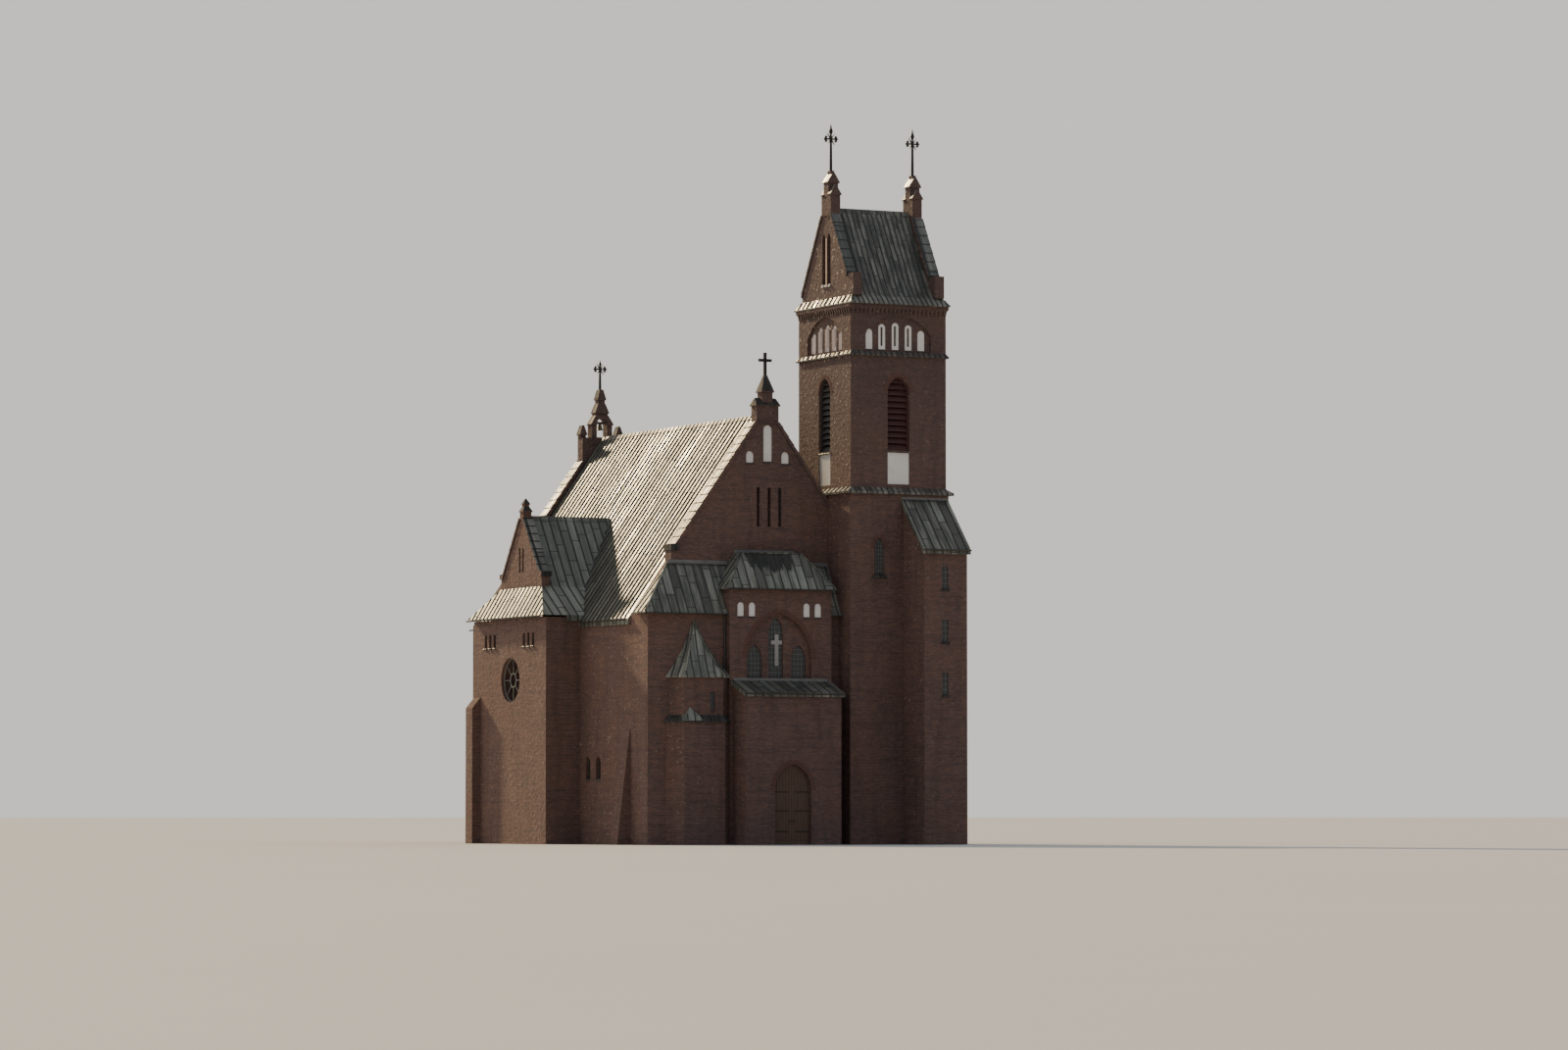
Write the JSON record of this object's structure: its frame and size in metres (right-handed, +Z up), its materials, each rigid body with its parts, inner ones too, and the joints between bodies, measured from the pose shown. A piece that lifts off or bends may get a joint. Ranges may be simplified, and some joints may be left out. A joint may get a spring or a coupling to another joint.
{
  "type": "church building",
  "caption": "Brick church with a saddleback bell tower, stepped gables, steep copper roofs, narthex, transepts, chancel and a small bell that swings over the rear gable.",
  "frame": {"origin": "on the ground, under the middle of the whole building's bounding box", "axes": "+X along the front from the canted bay to the tower, +Y back along the nave, +Z up"},
  "size_m": [20.6, 35.75, 39.2],
  "materials": {
    "brick": "dark red-brown brick in lime mortar",
    "plaster": "white lime plaster in the niches",
    "copper": "weathered standing seam copper, grey-green",
    "copper_trim": "stepped sheet copper on copings and ledges",
    "iron": "wrought iron, near black",
    "glass": "dark leaded glass",
    "wood": "dark stained boards",
    "bronze": "cast bell bronze, dulled",
    "stone_floor": "worn limestone slabs"
  },
  "bodies": {
    "church": {"tower_lower_walls": "brick", "tower_belfry_walls": "brick", "tower_niche_walls": "brick", "tower_left_gable": "brick", "tower_right_gable": "brick", "tower_left_pinnacle": "brick", "tower_right_pinnacle": "brick", "stair_annex_walls": "brick", "front_gable_wall": "brick", "front_pinnacle": "brick", "rear_gable_wall": "brick", "rear_bellcote": "brick", "nave_left_wall": "brick", "nave_right_wall": "brick", "narthex_wall": "brick", "portal_bay_wall": "brick", "porch_walls": "brick", "canted_bay_walls": "brick", "left_transept_walls": "brick", "right_transept_walls": "brick", "left_transept_gable": "brick", "right_transept_gable": "brick", "chancel_walls": "brick", "tower_eaves": "copper", "tower_roof": "copper", "stair_annex_roof": "copper", "nave_roof": "copper", "narthex_roof": "copper", "narthex_corner_roof": "copper", "portal_bay_roof": "copper", "porch_roof": "copper", "canted_bay_roof": "copper", "left_transept_roof": "copper", "right_transept_roof": "copper", "chancel_roof": "copper", "tower_lower_string": "copper_trim", "tower_upper_string": "copper_trim", "tower_left_coping": "copper_trim", "tower_right_coping": "copper_trim", "front_gable_coping": "copper_trim", "rear_gable_coping": "copper_trim", "canted_bay_ledge": "copper_trim", "left_transept_coping": "copper_trim", "right_transept_coping": "copper_trim", "tower_left_cross": "iron", "tower_right_cross": "iron", "front_cross": "iron", "rear_cross": "iron", "portal_glass": "glass", "left_transept_glass": "glass", "right_transept_glass": "glass", "louvre_front": "wood", "louvre_right": "wood", "louvre_back": "wood", "louvre_left": "wood", "porch_doors": "wood", "church_floor": "stone_floor"},
    "bell": {"bell": "bronze", "bell_yoke": "wood"}
  },
  "joints": [
    {"name": "bell_swing", "type": "hinge", "parent": "church", "child": "bell", "pos_m": [0, 8.375, 24.02], "axis": [1, 0, 0], "range_deg": [-35, 35]}
  ]
}
